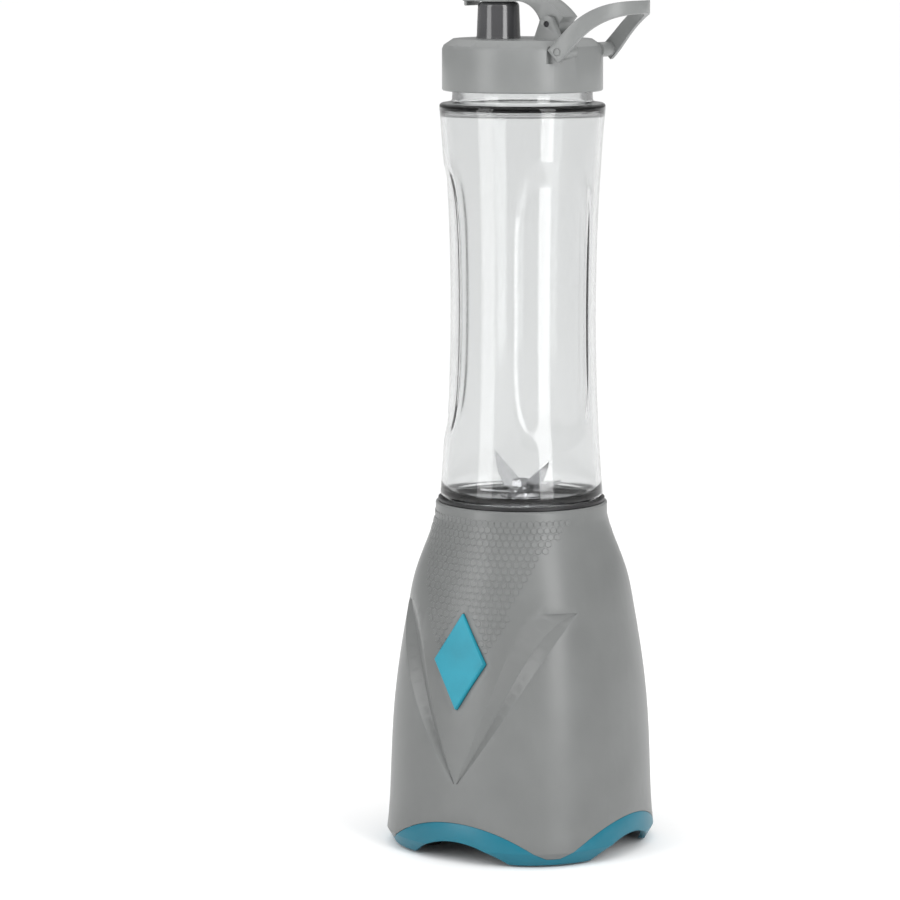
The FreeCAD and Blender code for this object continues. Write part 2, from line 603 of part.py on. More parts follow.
slots = ring_of(block(ARMATURE_R - 3.5, ARMATURE_R + 1, -0.9, 0.9, MOTOR_Z - 1, STACK_TOP + 1), 12)
ROOT_R = SHAFT_R + FIT / 2
save("armature_core", cut_all(tube(ARMATURE_R, ROOT_R, MOTOR_Z, STACK_TOP), slots))
END_R = 12.6
save("armature_windings",
     turned([(SHAFT_R + 2, MOTOR_Z - 6.5), (END_R - 2, MOTOR_Z - 6.5), (END_R, MOTOR_Z - 4.5),
             (END_R, MOTOR_Z), (SHAFT_R + 2, MOTOR_Z)]),
     turned([(SHAFT_R + 2, STACK_TOP), (END_R, STACK_TOP), (END_R, STACK_TOP + 4.5),
             (END_R - 2, STACK_TOP + 6.5), (SHAFT_R + 2, STACK_TOP + 6.5)]))
COMM_Z = MOTOR_Z - 15.6
COMM_TOP = MOTOR_Z - 7.5
bars = ring_of(block(COMMUTATOR_R - 0.8, COMMUTATOR_R + 1, -0.25, 0.25, COMM_Z - 1, COMM_TOP + 1), 12)
save("commutator", cut_all(tube(COMMUTATOR_R, ROOT_R, COMM_Z, COMM_TOP), bars))
fan = rod(6.0, FAN_Z, FAN_Z + FAN_H).fuse(rod(FAN_R, FAN_Z + FAN_H - 1.4, FAN_Z + FAN_H))
fan_blade = block(5.0, FAN_R - 0.5, -0.7, 0.7, FAN_Z, FAN_Z + FAN_H - 1)
fan = fuse_all(fan, ring_of(fan_blade, 9)).cut(rod(ROOT_R, FAN_Z - 1, FAN_Z + FAN_H + 1))
save("cooling_fan", fan)

LUG_H = 5.0
lug = sector(COUPLING_R - 0.5, 5.0, -14, 14, COUPLING_Z + COUPLING_H - 0.5,
             COUPLING_Z + COUPLING_H + LUG_H)
drive = fuse_all(rod(COUPLING_R, COUPLING_Z, COUPLING_Z + COUPLING_H), ring_of(lug, 4))
drive = drive.cut(rod(ROOT_R, COUPLING_Z - 1, COUPLING_Z + COUPLING_H - 1 + FIT))
save("drive_coupling", drive)

# ---------------------------------------------------------------- power_button and its switch
button = diamond(0.0, FLANGE_TOP - 0.5, BUTTON_PROUD)
button = button.makeChamfer(0.5, [e for e in button.Edges if e.BoundBox.ZMin > BUTTON_PROUD - 0.1])
button = button.fuse(block(-BUTTON_EAR, BUTTON_EAR, -6, 6, FLANGE_TOP - FLANGE_THICK, FLANGE_TOP))
button = button.fuse(rod(BOSS_R, BOSS_BACK, FLANGE_TOP)).removeSplitter()
save("power_button", at_button(button))

SPRING_TOP = FLANGE_TOP - FLANGE_THICK
SPRING_WIRE = 0.45
spring_length = SPRING_TOP - BRACKET_FACE - 2 * (SPRING_WIRE + FIT)
button_spring = coil_spring(BOSS_R + 1.3, SPRING_WIRE, spring_length, 4)
button_spring.translate(Vector(0, 0, BRACKET_FACE + SPRING_WIRE + FIT))
save("button_spring", at_button(button_spring))

PLUNGER_R = 1.5
PLUNGER_TOP = BOSS_BACK - GAP
SWITCH_TOP = BRACKET_FACE - BRACKET_THICK
SWITCH_DEEP = 10.0
switch_bracket = block(-POST_AT - POST_R, POST_AT + POST_R, -6.5, 6.5, SWITCH_TOP, BRACKET_FACE)
switch_bracket = switch_bracket.cut(rod(PLUNGER_R + 0.5, -40, 0))
for sign in (-1, 1):
    switch_bracket = switch_bracket.fuse(rod(POST_R, BRACKET_FACE - 0.5, POST_BACK, sign * POST_AT, 0))
save("switch_bracket", at_button(switch_bracket.removeSplitter()))
switch_body = block(-4.5, 4.5, -4.5, 11.5, SWITCH_TOP - SWITCH_DEEP, SWITCH_TOP)
switch_body = switch_body.cut(rod(PLUNGER_R + FIT, SWITCH_TOP - 7, SWITCH_TOP + 1))
for y in (2.5, 8.5):
    switch_body = switch_body.fuse(block(-0.4, 0.4, y - 1.5, y + 1.5,
                                         SWITCH_TOP - SWITCH_DEEP - 4, SWITCH_TOP - SWITCH_DEEP))
save("micro_switch", at_button(switch_body.removeSplitter()))
save("switch_plunger", at_button(rod(PLUNGER_R, SWITCH_TOP - 3.5, PLUNGER_TOP)))

# ---------------------------------------------------------------- cord_inlet and terminal_block
BACK_Y = -on_front(0.0, INLET_Z).y
inlet = rod_along_y(INLET_R, BACK_Y - CASE_WALL - 3, BACK_Y + 1, 0, INLET_Z)
inlet = inlet.fuse(rod_along_y(INLET_R + 2.2, BACK_Y + 0.6, BACK_Y + 3.0, 0, INLET_Z))
inlet = inlet.fuse(rod_along_y(INLET_R + 1.6, BACK_Y - CASE_WALL - 4, BACK_Y - CASE_WALL - 1, 0, INLET_Z))
inlet = inlet.cut(rod_along_y(INLET_BORE, BACK_Y - 20, BACK_Y + 10, 0, INLET_Z)).removeSplitter()
save("cord_inlet", inlet)
terminal = block(-11, 11, 33, 45, PLATE_TOP, PLATE_TOP + 9)
for i in range(3):
    terminal = terminal.cut(rod(1.8, PLATE_TOP + 3, PLATE_TOP + 20, -7 + 7 * i, 36.5))
    terminal = terminal.cut(rod_along_y(1.6, 40, 60, -7 + 7 * i, PLATE_TOP + 4.5))
save("terminal_block", terminal)

# ---------------------------------------------------------------- blade unit
HOLDER_Z = CUP_FLOOR_TOP + SEAT_GASKET + GAP
FLANGE_Z = RIM_Z + GAP
HOLDER_TOP = BOTTLE_BOTTOM - GAP
HOLDER_BORE = HOLDER_R - HOLDER_WALL
TROUGH_Z = RIM_Z - 11.0
DOME_R = 29.0
DOME_Z = RIM_Z - 4.0
HUB_R = 8.5
holder = turned([(HUB_R, DOME_Z - 2), (DOME_R - 2, DOME_Z - 2), (DOME_R - 2, TROUGH_Z - 2.2),
                 (HOLDER_SKIRT_R, TROUGH_Z - 2.2), (HOLDER_SKIRT_R, HOLDER_Z), (HOLDER_R, HOLDER_Z),
                 (HOLDER_R, FLANGE_Z), (HOLDER_FLANGE_R, FLANGE_Z), (HOLDER_FLANGE_R, HOLDER_TOP),
                 (HOLDER_BORE, HOLDER_TOP), (HOLDER_BORE, TROUGH_Z), (DOME_R, TROUGH_Z),
                 (DOME_R, DOME_Z), (HUB_R, DOME_Z)])
holder_key = block(CUP_INNER - KEY_DEPTH - GAP, HOLDER_R + 1, -KEY_WIDTH / 2 - GAP,
                   KEY_WIDTH / 2 + GAP, HOLDER_Z - 1, KEY_TOP + 0.5)
holder = cut_all(holder, ring_of(holder_key, KEY_COUNT, -90))
COLLAR_THREAD_Z = BOTTLE_BOTTOM - 9.6
THREAD_GAP = 0.3
LUG_TURN = 20.0
LUG_AT = 75.0
lug_rise = THREAD_LEAD * LUG_AT / 360.0
holder_lug = thread_ridge(HOLDER_BORE, -(HOLDER_BORE - COLLAR_R - 2 * GAP), THREAD_HEIGHT, LUG_AT,
                          LUG_TURN, COLLAR_THREAD_Z + lug_rise + THREAD_HEIGHT + THREAD_GAP)
holder = fuse_all(holder, ring_of(holder_lug, 3))
save("blade_holder", holder)

PLATE_SHEET = 1.0
HOUSING_TOP = RIM_Z + 2.5
blade_plate = tube(DOME_R - 2.0, HUB_R - 1.6, DOME_Z, DOME_Z + PLATE_SHEET)
save("blade_plate", blade_plate)
BEARING_R = 5.0
BEARING_LOW = DOME_Z - 11.0
NUT_TOP = DOME_Z - 2.0
NUT_HEIGHT = 7.0
BUSHING_HEIGHT = 5.0
bearing = turned([(BEARING_R, BEARING_LOW), (HUB_R - 1.8, BEARING_LOW),
                  (HUB_R - 1.8, DOME_Z + PLATE_SHEET),
                  (HUB_R + 1.0, DOME_Z + PLATE_SHEET), (HUB_R + 0.6, DOME_Z + PLATE_SHEET + 2),
                  (BEARING_R + 1.2, HOUSING_TOP), (BLADE_SHAFT_R + 1.6, HOUSING_TOP),
                  (BLADE_SHAFT_R + 1.6, HOUSING_TOP - 0.8), (BEARING_R, HOUSING_TOP - 0.8)])
save("bearing_housing", bearing)
nut = hexagon(11.5, NUT_TOP - NUT_HEIGHT, NUT_TOP)
nut = nut.cut(rod(HUB_R - 1.8, NUT_TOP - 20, NUT_TOP + 20))
save("bearing_nut", nut)
low_bushing_z = BEARING_LOW + 0.5
high_bushing_z = low_bushing_z + BUSHING_HEIGHT + 2.0
save("blade_bushings", tube(BEARING_R, BLADE_SHAFT_R + RUN, low_bushing_z, low_bushing_z + BUSHING_HEIGHT),
     tube(BEARING_R, BLADE_SHAFT_R + RUN, high_bushing_z, high_bushing_z + BUSHING_HEIGHT))
save("shaft_seal", tube(BEARING_R, BLADE_SHAFT_R + FIT, HOUSING_TOP - 4.2, HOUSING_TOP - 1.1))

DRIVEN_Z = COUPLING_Z + COUPLING_H + LUG_H + 1.0
driven_lug = sector(COUPLING_R - 0.5, 5.0, 31, 59, DRIVEN_Z - LUG_H, DRIVEN_Z + 0.5)
driven = fuse_all(rod(COUPLING_R, DRIVEN_Z, DRIVEN_Z + 7.5), ring_of(driven_lug, 4))
driven = driven.cut(rod(BLADE_SHAFT_R + FIT / 2, DRIVEN_Z + 1.5 - FIT, DRIVEN_Z + 10))
save("driven_coupling", driven)

LOWER_BLADE_Z = HOUSING_TOP + 0.5
BLADE_T = 1.2
SPACER_H = 0.8
UPPER_BLADE_Z = LOWER_BLADE_Z + BLADE_T + SPACER_H
NUT_BASE = UPPER_BLADE_Z + BLADE_T
save("blade_shaft", rod(BLADE_SHAFT_R, DRIVEN_Z + 1.5, NUT_BASE + 3.6))


def winged_blade(z, bend_at, tip_r, tip_rise, width, sweep):
    """A blade stamped from sheet: a flat middle, and two wings bent up and ground to points."""
    side = [(-tip_r, z + tip_rise), (-bend_at, z), (bend_at, z), (tip_r, z + tip_rise)]
    side += [(x, top + BLADE_T) for x, top in reversed(side)]
    half = width / 2
    wing = [(bend_at, -half), (tip_r + 1, sweep), (tip_r * 0.6, half)]
    plan = wing + [(-x, -y) for x, y in wing]
    outline = [Vector(x, y, z - 30) for x, y in plan]
    face = Part.Face(Part.makePolygon(outline + outline[:1]))
    solid = prism_y(side, width).common(face.extrude(Vector(0, 0, 80)))
    return solid.cut(rod(BLADE_SHAFT_R + FIT / 2, z - 5, z + 10))


save("lower_blade", spun(winged_blade(LOWER_BLADE_Z, 8.0, BLADE_REACH + 3, 3.0, 11.0, 2.5), 62))
save("upper_blade", spun(winged_blade(UPPER_BLADE_Z, 6.0, BLADE_REACH, 14.5, 11.0, 2.5), -28))
save("blade_spacer", tube(6.0, BLADE_SHAFT_R + FIT / 2, LOWER_BLADE_Z + BLADE_T, UPPER_BLADE_Z))
blade_nut = hexagon(4.8, NUT_BASE + 0.4, NUT_BASE + 3.2)
blade_nut = blade_nut.cut(rod(BLADE_SHAFT_R + FIT / 2, NUT_BASE - 20, NUT_BASE + 20))
save("blade_nut", blade_nut)

# ---------------------------------------------------------------- bottle and its gasket
GASKET_H = 1.6
COLLAR_Z = BOTTLE_BOTTOM - COLLAR_DEPTH
gasket_z = COLLAR_Z - FIT - GASKET_H
save("holder_gasket", tube(HOLDER_BORE - 3 * FIT, DOME_R + 3 * FIT, gasket_z, gasket_z + GASKET_H))

WAIST_Z = (BOTTLE_BOTTOM + BOTTLE_TOP) / 2
BASE_ROUND = 1.6


def wall_arc(inset):
    """The waisted side of the bottle, from its lower to its upper edge."""
    return Part.Arc(Vector(BOTTLE_BOTTOM_R - inset, 0, BOTTLE_BOTTOM + BASE_ROUND + inset),
                    Vector(BOTTLE_WAIST_R - inset, 0, WAIST_Z),
                    Vector(BOTTLE_TOP_R - inset, 0, BOTTLE_TOP - BASE_ROUND - inset)).toShape()


def line(r0, z0, r1, z1):
    return Part.makeLine(Vector(r0, 0, z0), Vector(r1, 0, z1))


outer_edges = [line(0, BOTTLE_BOTTOM, BOTTLE_BOTTOM_R - BASE_ROUND, BOTTLE_BOTTOM),
               line(BOTTLE_BOTTOM_R - BASE_ROUND, BOTTLE_BOTTOM,
                    BOTTLE_BOTTOM_R, BOTTLE_BOTTOM + BASE_ROUND),
               wall_arc(0.0),
               line(BOTTLE_TOP_R, BOTTLE_TOP - BASE_ROUND, BOTTLE_TOP_R - BASE_ROUND, BOTTLE_TOP),
               line(BOTTLE_TOP_R - BASE_ROUND, BOTTLE_TOP, 0, BOTTLE_TOP),
               line(0, BOTTLE_TOP, 0, BOTTLE_BOTTOM)]
outside = Part.Face(Part.Wire(outer_edges)).revolve(Vector(), Z, 360)
w = BOTTLE_WALL
inner_edges = [line(0, BOTTLE_BOTTOM + w, BOTTLE_BOTTOM_R - BASE_ROUND - w, BOTTLE_BOTTOM + w),
               line(BOTTLE_BOTTOM_R - BASE_ROUND - w, BOTTLE_BOTTOM + w,
                    BOTTLE_BOTTOM_R - w, BOTTLE_BOTTOM + BASE_ROUND + w),
               wall_arc(w),
               line(BOTTLE_TOP_R - w, BOTTLE_TOP - BASE_ROUND - w,
                    BOTTLE_TOP_R - BASE_ROUND - w, BOTTLE_TOP - w),
               line(BOTTLE_TOP_R - BASE_ROUND - w, BOTTLE_TOP - w, 0, BOTTLE_TOP - w),
               line(0, BOTTLE_TOP - w, 0, BOTTLE_BOTTOM + w)]
inside = Part.Face(Part.Wire(inner_edges)).revolve(Vector(), Z, 360)

grip_edges = [line(BOTTLE_BOTTOM_R - GRIP_DEPTH, BOTTLE_BOTTOM + BASE_ROUND + GRIP_DEPTH, 60,
                   BOTTLE_BOTTOM + BASE_ROUND + GRIP_DEPTH),
              line(60, BOTTLE_BOTTOM + BASE_ROUND + GRIP_DEPTH, 60, BOTTLE_TOP - BASE_ROUND - GRIP_DEPTH),
              line(60, BOTTLE_TOP - BASE_ROUND - GRIP_DEPTH, BOTTLE_TOP_R - GRIP_DEPTH,
                   BOTTLE_TOP - BASE_ROUND - GRIP_DEPTH),
              wall_arc(GRIP_DEPTH)]
grip_ring = Part.Face(Part.Wire(Part.__sortEdges__(grip_edges))).revolve(Vector(), Z, 360)
ellipse = Part.Ellipse(Vector(0, 0, WAIST_Z), GRIP_HALF_H, GRIP_HALF_W)
oval = Part.Wire(ellipse.toShape())
oval.rotate(Vector(0, 0, WAIST_Z), Vector(0, 1, 0), 90)
oval_prism = Part.Face(oval).extrude(Vector(50, 0, 0))
grip = oval_prism.common(grip_ring)

collar = tube(COLLAR_R, COLLAR_R - COLLAR_WALL, COLLAR_Z, BOTTLE_BOTTOM + 1)
neck = tube(NECK_R, NECK_R - NECK_WALL, BOTTLE_TOP - 1, NECK_TOP)
shell = cut_all(outside, ring_of(grip, GRIP_COUNT, GRIP_FIRST))
shell = shell.fuse([collar, neck]).removeSplitter()
shell = shell.cut(inside)
shell = shell.cut(rod(COLLAR_R - COLLAR_WALL, COLLAR_Z - 1, BOTTLE_BOTTOM + w + 1))
shell = shell.cut(rod(NECK_R - NECK_WALL, BOTTLE_TOP - w - 1, NECK_TOP + 1))
NECK_THREAD_Z = BOTTLE_TOP + 11.2
collar_ridge = thread_ridge(COLLAR_R, THREAD_DEPTH, THREAD_HEIGHT, 0, THREAD_TURN, COLLAR_THREAD_Z)
neck_ridge = thread_ridge(NECK_R, THREAD_DEPTH - 0.1, THREAD_HEIGHT, 0, THREAD_TURN, NECK_THREAD_Z)
shell = fuse_all(shell, ring_of(collar_ridge, 3) + ring_of(neck_ridge, 3))
save("bottle", shell)

# ---------------------------------------------------------------- lid
CAP_BORE = NECK_R + THREAD_DEPTH + 0.4
LID_GASKET_Z = NECK_TOP + FIT
LID_GASKET_H = 1.6
CEILING = NECK_TOP - 0.3
GROOVE_IN = NECK_R - NECK_WALL - 1.4
cap = turned([(0, CEILING), (GROOVE_IN, CEILING), (GROOVE_IN, LID_GASKET_Z + LID_GASKET_H + FIT),
              (CAP_BORE, LID_GASKET_Z + LID_GASKET_H + FIT), (CAP_BORE, CAP_Z + 0.6),
              (CAP_BORE + 0.5, CAP_Z), (CAP_R - 0.5, CAP_Z), (CAP_R, CAP_Z + 0.5),
              (CAP_R, CAP_TOP - CAP_SHOULDER - 1.6), (CAP_R - 0.8, CAP_TOP - CAP_SHOULDER + 0.2),
              (CAP_FACE_R, CAP_TOP), (0, CAP_TOP)])
px, pz = COVER_PIVOT
KNUCKLE_SWING = 9.6
EAR_IN = COVER_ARM_HALF + GAP
EAR_OUT = EAR_IN + EAR_THICK
cap = cap.cut(block(px - 8, px + 8, -EAR_IN, EAR_IN, pz - KNUCKLE_SWING - 0.3, CAP_TOP + 5))
EAR_R = 3.8
ear_side = [(px - 7, CAP_TOP - 1), (px + 8, CAP_TOP - 1), (px + EAR_R * 0.9, pz + 1.4),
            (px - EAR_R * 0.9, pz + 1.4)]
for sign in (-1, 1):
    plate_ear = moved(prism_y(ear_side, EAR_THICK / 2), 0, sign * (EAR_IN + EAR_THICK / 2), 0)
    knob = rod_along_y(EAR_R, -EAR_THICK / 2, EAR_THICK / 2, px, pz)
    knob = moved(knob, 0, sign * (EAR_IN + EAR_THICK / 2), 0)
    cap = cap.fuse([plate_ear, knob])
lx, lz = LOOP_PIVOT
LOOP_OUT = LOOP_INNER + LOOP_THICK
TRUNNION_BOSS = 3.4
SIDE_POCKET = LOOP_INNER - GAP
neck_room = rod(CAP_BORE, CAP_Z - 1, LID_GASKET_Z + LID_GASKET_H + FIT)
for sign in (-1, 1):
    y0, y1 = sorted((sign * 12.0, sign * SIDE_POCKET))
    cap = cap.fuse(rod_along_y(TRUNNION_BOSS, y0, y1, lx, lz).cut(neck_room))
    y0, y1 = sorted((sign * SIDE_POCKET, sign * (SIDE_POCKET + 12)))
    cap = cap.cut(block(lx - 5.3, lx + 10, y0, y1, lz - 5.3, CAP_TOP + 5))
    y0, y1 = sorted((sign * (SIDE_POCKET - 1), sign * (LOOP_OUT - 0.2)))
    cap = cap.fuse(rod_along_y(TRUNNION_R, y0, y1, lx, lz))
cap = cap.removeSplitter()
cap = cap.cut(rod_along_y(PIN_R + FIT / 2, -EAR_OUT - 1, EAR_OUT + 1, px, pz))
SPOUT_TAIL = SPOUT_BORE + 1.2
cap = cap.cut(rod(SPOUT_TAIL + FIT, CEILING - 1, CAP_TOP + 1, SPOUT_X, 0))
cap_lug = thread_ridge(CAP_BORE, -(CAP_BORE - NECK_R - GAP), THREAD_HEIGHT, 5, LUG_TURN,
                       NECK_THREAD_Z + THREAD_LEAD * 5 / 360.0 - THREAD_HEIGHT - THREAD_GAP)
cap = fuse_all(cap, ring_of(cap_lug, 3))
save("lid_cap", cap)
save("lid_gasket", tube(CAP_BORE - 2 * FIT, GROOVE_IN + 2 * FIT, LID_GASKET_Z,
                        LID_GASKET_Z + LID_GASKET_H))

spout = turned([(SPOUT_BORE, CEILING), (SPOUT_TAIL, CEILING), (SPOUT_TAIL, CAP_TOP),
                (SPOUT_R + 0.9, CAP_TOP), (SPOUT_R + 0.5, CAP_TOP + 1.2), (SPOUT_R, SPOUT_TOP - 2.2),
                (SPOUT_R - 0.5, SPOUT_TOP - 0.7), (SPOUT_R - 1.4, SPOUT_TOP), (SPOUT_BORE, SPOUT_TOP)])
save("spout", moved(spout, SPOUT_X))

COVER_Z = SPOUT_TOP + GAP
COVER_TOP = COVER_Z + COVER_THICK
COVER_DISC_R = 11.5
cover = rod(COVER_DISC_R, COVER_Z, COVER_TOP, SPOUT_X, 0)
cover = cover.fuse(block(COVER_TIP_X, SPOUT_X, -6.5, 6.5, COVER_Z, COVER_TOP))
arm_lower = Part.Arc(Vector(SPOUT_X + SPOUT_R + 1.5, -COVER_ARM_HALF, COVER_Z),
                     Vector(px - 8.6, -COVER_ARM_HALF, COVER_Z - 3.4),
                     Vector(px - 4.6, -COVER_ARM_HALF, pz - 1.5)).toShape()
arm_upper = Part.Arc(Vector(px + 7.2, -COVER_ARM_HALF, pz + 3.2),
                     Vector(px - 4.0, -COVER_ARM_HALF, COVER_TOP - 1.0),
                     Vector(SPOUT_X, -COVER_ARM_HALF, COVER_TOP + 0.6)).toShape()
ends = [arm_lower.Vertexes[0].Point, arm_lower.Vertexes[-1].Point,
        arm_upper.Vertexes[0].Point, arm_upper.Vertexes[-1].Point]
knuckle_low = Vector(px, -COVER_ARM_HALF, pz - 5.0)
arm = Part.Face(Part.Wire(Part.__sortEdges__([
    arm_lower, Part.makeLine(ends[1], knuckle_low), Part.makeLine(knuckle_low, ends[2]), arm_upper,
    Part.makeLine(ends[3], Vector(SPOUT_X, -COVER_ARM_HALF, COVER_Z)),
    Part.makeLine(Vector(SPOUT_X, -COVER_ARM_HALF, COVER_Z), ends[0])])))
arm = arm.extrude(Vector(0, 2 * COVER_ARM_HALF, 0))
cover = fuse_all(cover, [arm, rod_along_y(5.0, -COVER_ARM_HALF, COVER_ARM_HALF, px, pz)])
cover = cover.cut(rod_along_y(PIN_R + FIT, -20, 20, px, pz))
save("flip_cover", cover)
PLUG_DEPTH = 1.5
PLUG_R = SPOUT_BORE - 0.7
save("spout_plug", rod(PLUG_R, COVER_Z - PLUG_DEPTH, COVER_Z, SPOUT_X, 0))
save("hinge_pin", rod_along_y(PIN_R, -EAR_OUT + 0.8, EAR_OUT - 0.8, px, pz))

# Carry loop: a strap bent round in plan, rising from its two legs to its tip
LOOP_END = 2.9
LOOP_HALF = 3.9
TIP_HALF = 2.9
rise_line = [(lx - LOOP_END * 0.72, lz - LOOP_END * 0.69), (lx + 3.5, lz + 3.7), (lx + 10.5, lz + 11.0),
             (lx + 17.5, lz + 16.0), (lx + 24.0, lz + 18.8), (LOOP_TIP_X, lz + 20.0)]


def strap_side(points):
    """Side view of the strap: a band about a rising line, from legs to tip."""
    upper_pts = []
    lower_pts = []
    last = len(points) - 1
    for i, (x, z) in enumerate(points):
        x0, z0 = points[max(i - 1, 0)]
        x1, z1 = points[min(i + 1, last)]
        length = math.hypot(x1 - x0, z1 - z0)
        nx, nz = -(z1 - z0) / length, (x1 - x0) / length
        half = LOOP_HALF + (TIP_HALF - LOOP_HALF) * i / last
        upper_pts.append(Vector(x + nx * half, 0, z + nz * half))
        lower_pts.append(Vector(x - nx * half, 0, z - nz * half))
    top_curve = Part.BSplineCurve()
    top_curve.interpolate(upper_pts)
    low_curve = Part.BSplineCurve()
    low_curve.interpolate(lower_pts)
    edges = [top_curve.toShape(), Part.makeLine(upper_pts[-1], lower_pts[-1]),
             low_curve.toShape(), Part.makeLine(lower_pts[0], upper_pts[0])]
    face = Part.Face(Part.Wire(Part.__sortEdges__(edges)))
    return moved(face.extrude(Vector(0, 80, 0)), 0, -40, 0)


def half_oval(x_reach, y_reach):
    """Plan outline of the strap: straight sides that close in a half ellipse at +X."""
    along = max(x_reach, y_reach)
    across = min(x_reach, y_reach)
    oval_curve = Part.Ellipse(Vector(lx, 0, lz - 60), along, across)
    oval_face = Part.Face(Part.Wire(oval_curve.toShape()))
    solid = oval_face.extrude(Vector(0, 0, 120))
    solid = solid.common(block(lx, lx + 80, -60, 60, lz - 70, lz + 60))
    return solid.fuse(block(lx - 30, lx, -y_reach, y_reach, lz - 60, lz + 60)).removeSplitter()


plan_ring = half_oval(LOOP_TIP_X - lx, LOOP_OUT).cut(
    half_oval(LOOP_TIP_X - lx - LOOP_THICK - 0.3, LOOP_INNER))
loop = strap_side(rise_line).common(plan_ring)
loop = loop.cut(rod_along_y(TRUNNION_R + FIT, -60, 60, lx, lz))
save("carry_loop", loop)

print("nodes", len(NAMES))
print("button frame", BUTTON_AT, "push axis", 0, math.cos(math.radians(BUTTON_TILT)),
      -math.sin(math.radians(BUTTON_TILT)))
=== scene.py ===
import json
import math
import bpy
from mathutils import Matrix, Vector

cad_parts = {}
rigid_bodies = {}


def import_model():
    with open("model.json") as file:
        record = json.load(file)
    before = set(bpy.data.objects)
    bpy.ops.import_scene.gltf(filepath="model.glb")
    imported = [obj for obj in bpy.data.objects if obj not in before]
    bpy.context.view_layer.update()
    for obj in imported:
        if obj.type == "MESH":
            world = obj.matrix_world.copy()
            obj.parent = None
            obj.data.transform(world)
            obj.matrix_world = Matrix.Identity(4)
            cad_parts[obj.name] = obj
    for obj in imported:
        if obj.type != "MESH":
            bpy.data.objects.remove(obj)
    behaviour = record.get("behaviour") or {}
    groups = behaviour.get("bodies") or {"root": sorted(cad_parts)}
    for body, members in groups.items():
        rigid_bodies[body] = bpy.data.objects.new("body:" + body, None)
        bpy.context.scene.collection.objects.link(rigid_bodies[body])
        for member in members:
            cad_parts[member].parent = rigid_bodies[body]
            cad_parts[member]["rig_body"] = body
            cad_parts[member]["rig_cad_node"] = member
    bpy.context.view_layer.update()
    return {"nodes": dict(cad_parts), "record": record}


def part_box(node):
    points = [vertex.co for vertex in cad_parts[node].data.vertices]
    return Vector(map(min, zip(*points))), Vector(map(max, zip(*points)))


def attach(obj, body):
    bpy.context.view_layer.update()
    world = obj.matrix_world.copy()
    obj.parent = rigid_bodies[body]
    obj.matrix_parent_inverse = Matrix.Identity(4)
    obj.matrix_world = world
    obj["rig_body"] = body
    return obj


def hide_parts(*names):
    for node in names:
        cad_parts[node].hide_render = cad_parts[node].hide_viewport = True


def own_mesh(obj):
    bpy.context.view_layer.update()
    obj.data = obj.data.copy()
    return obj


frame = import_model()
bpy.context.scene.view_settings.view_transform = "Standard"

# Motor casing: one gray moulding of satin ABS plastic, waisted from a square foot to a round rim, with a
# V-shaped relief on its front. It is drawn from a polished steel mould, so its edges are slightly round.
MM = 0.001
CASING_GRAY = (0.142, 0.147, 0.145)


def soft_edged(node, name, width, angle=32.0, segments=2):
    """A copy of a moulded part, with its sharp edges rounded as a mould leaves them."""
    bpy.ops.object.select_all(action="DESELECT")
    source = frame["nodes"][node]
    piece = source.copy()
    piece.data = source.data.copy()
    bpy.context.scene.collection.objects.link(piece)
    piece.parent = None
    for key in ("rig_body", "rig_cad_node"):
        if key in piece:
            del piece[key]
    piece.name = name
    piece.data.name = name
    piece.data.materials.clear()
    bpy.context.view_layer.objects.active = piece
    piece.select_set(True)
    bpy.ops.object.mode_set(mode="EDIT")
    bpy.ops.mesh.select_all(action="SELECT")
    bpy.ops.mesh.customdata_custom_splitnormals_clear()
    bpy.ops.mesh.remove_doubles(threshold=0.002 * MM)
    bpy.ops.mesh.dissolve_limited(angle_limit=math.radians(0.6))
    bpy.ops.object.mode_set(mode="OBJECT")
    if width > 0:
        bevel = piece.modifiers.new("edge", "BEVEL")
        bevel.width = width
        bevel.segments = segments
        bevel.limit_method = "ANGLE"
        bevel.angle_limit = math.radians(angle)
        bevel.use_clamp_overlap = True
        bpy.ops.object.modifier_apply(modifier="edge")
    bpy.ops.object.shade_smooth_by_angle(angle=math.radians(angle))
    return piece


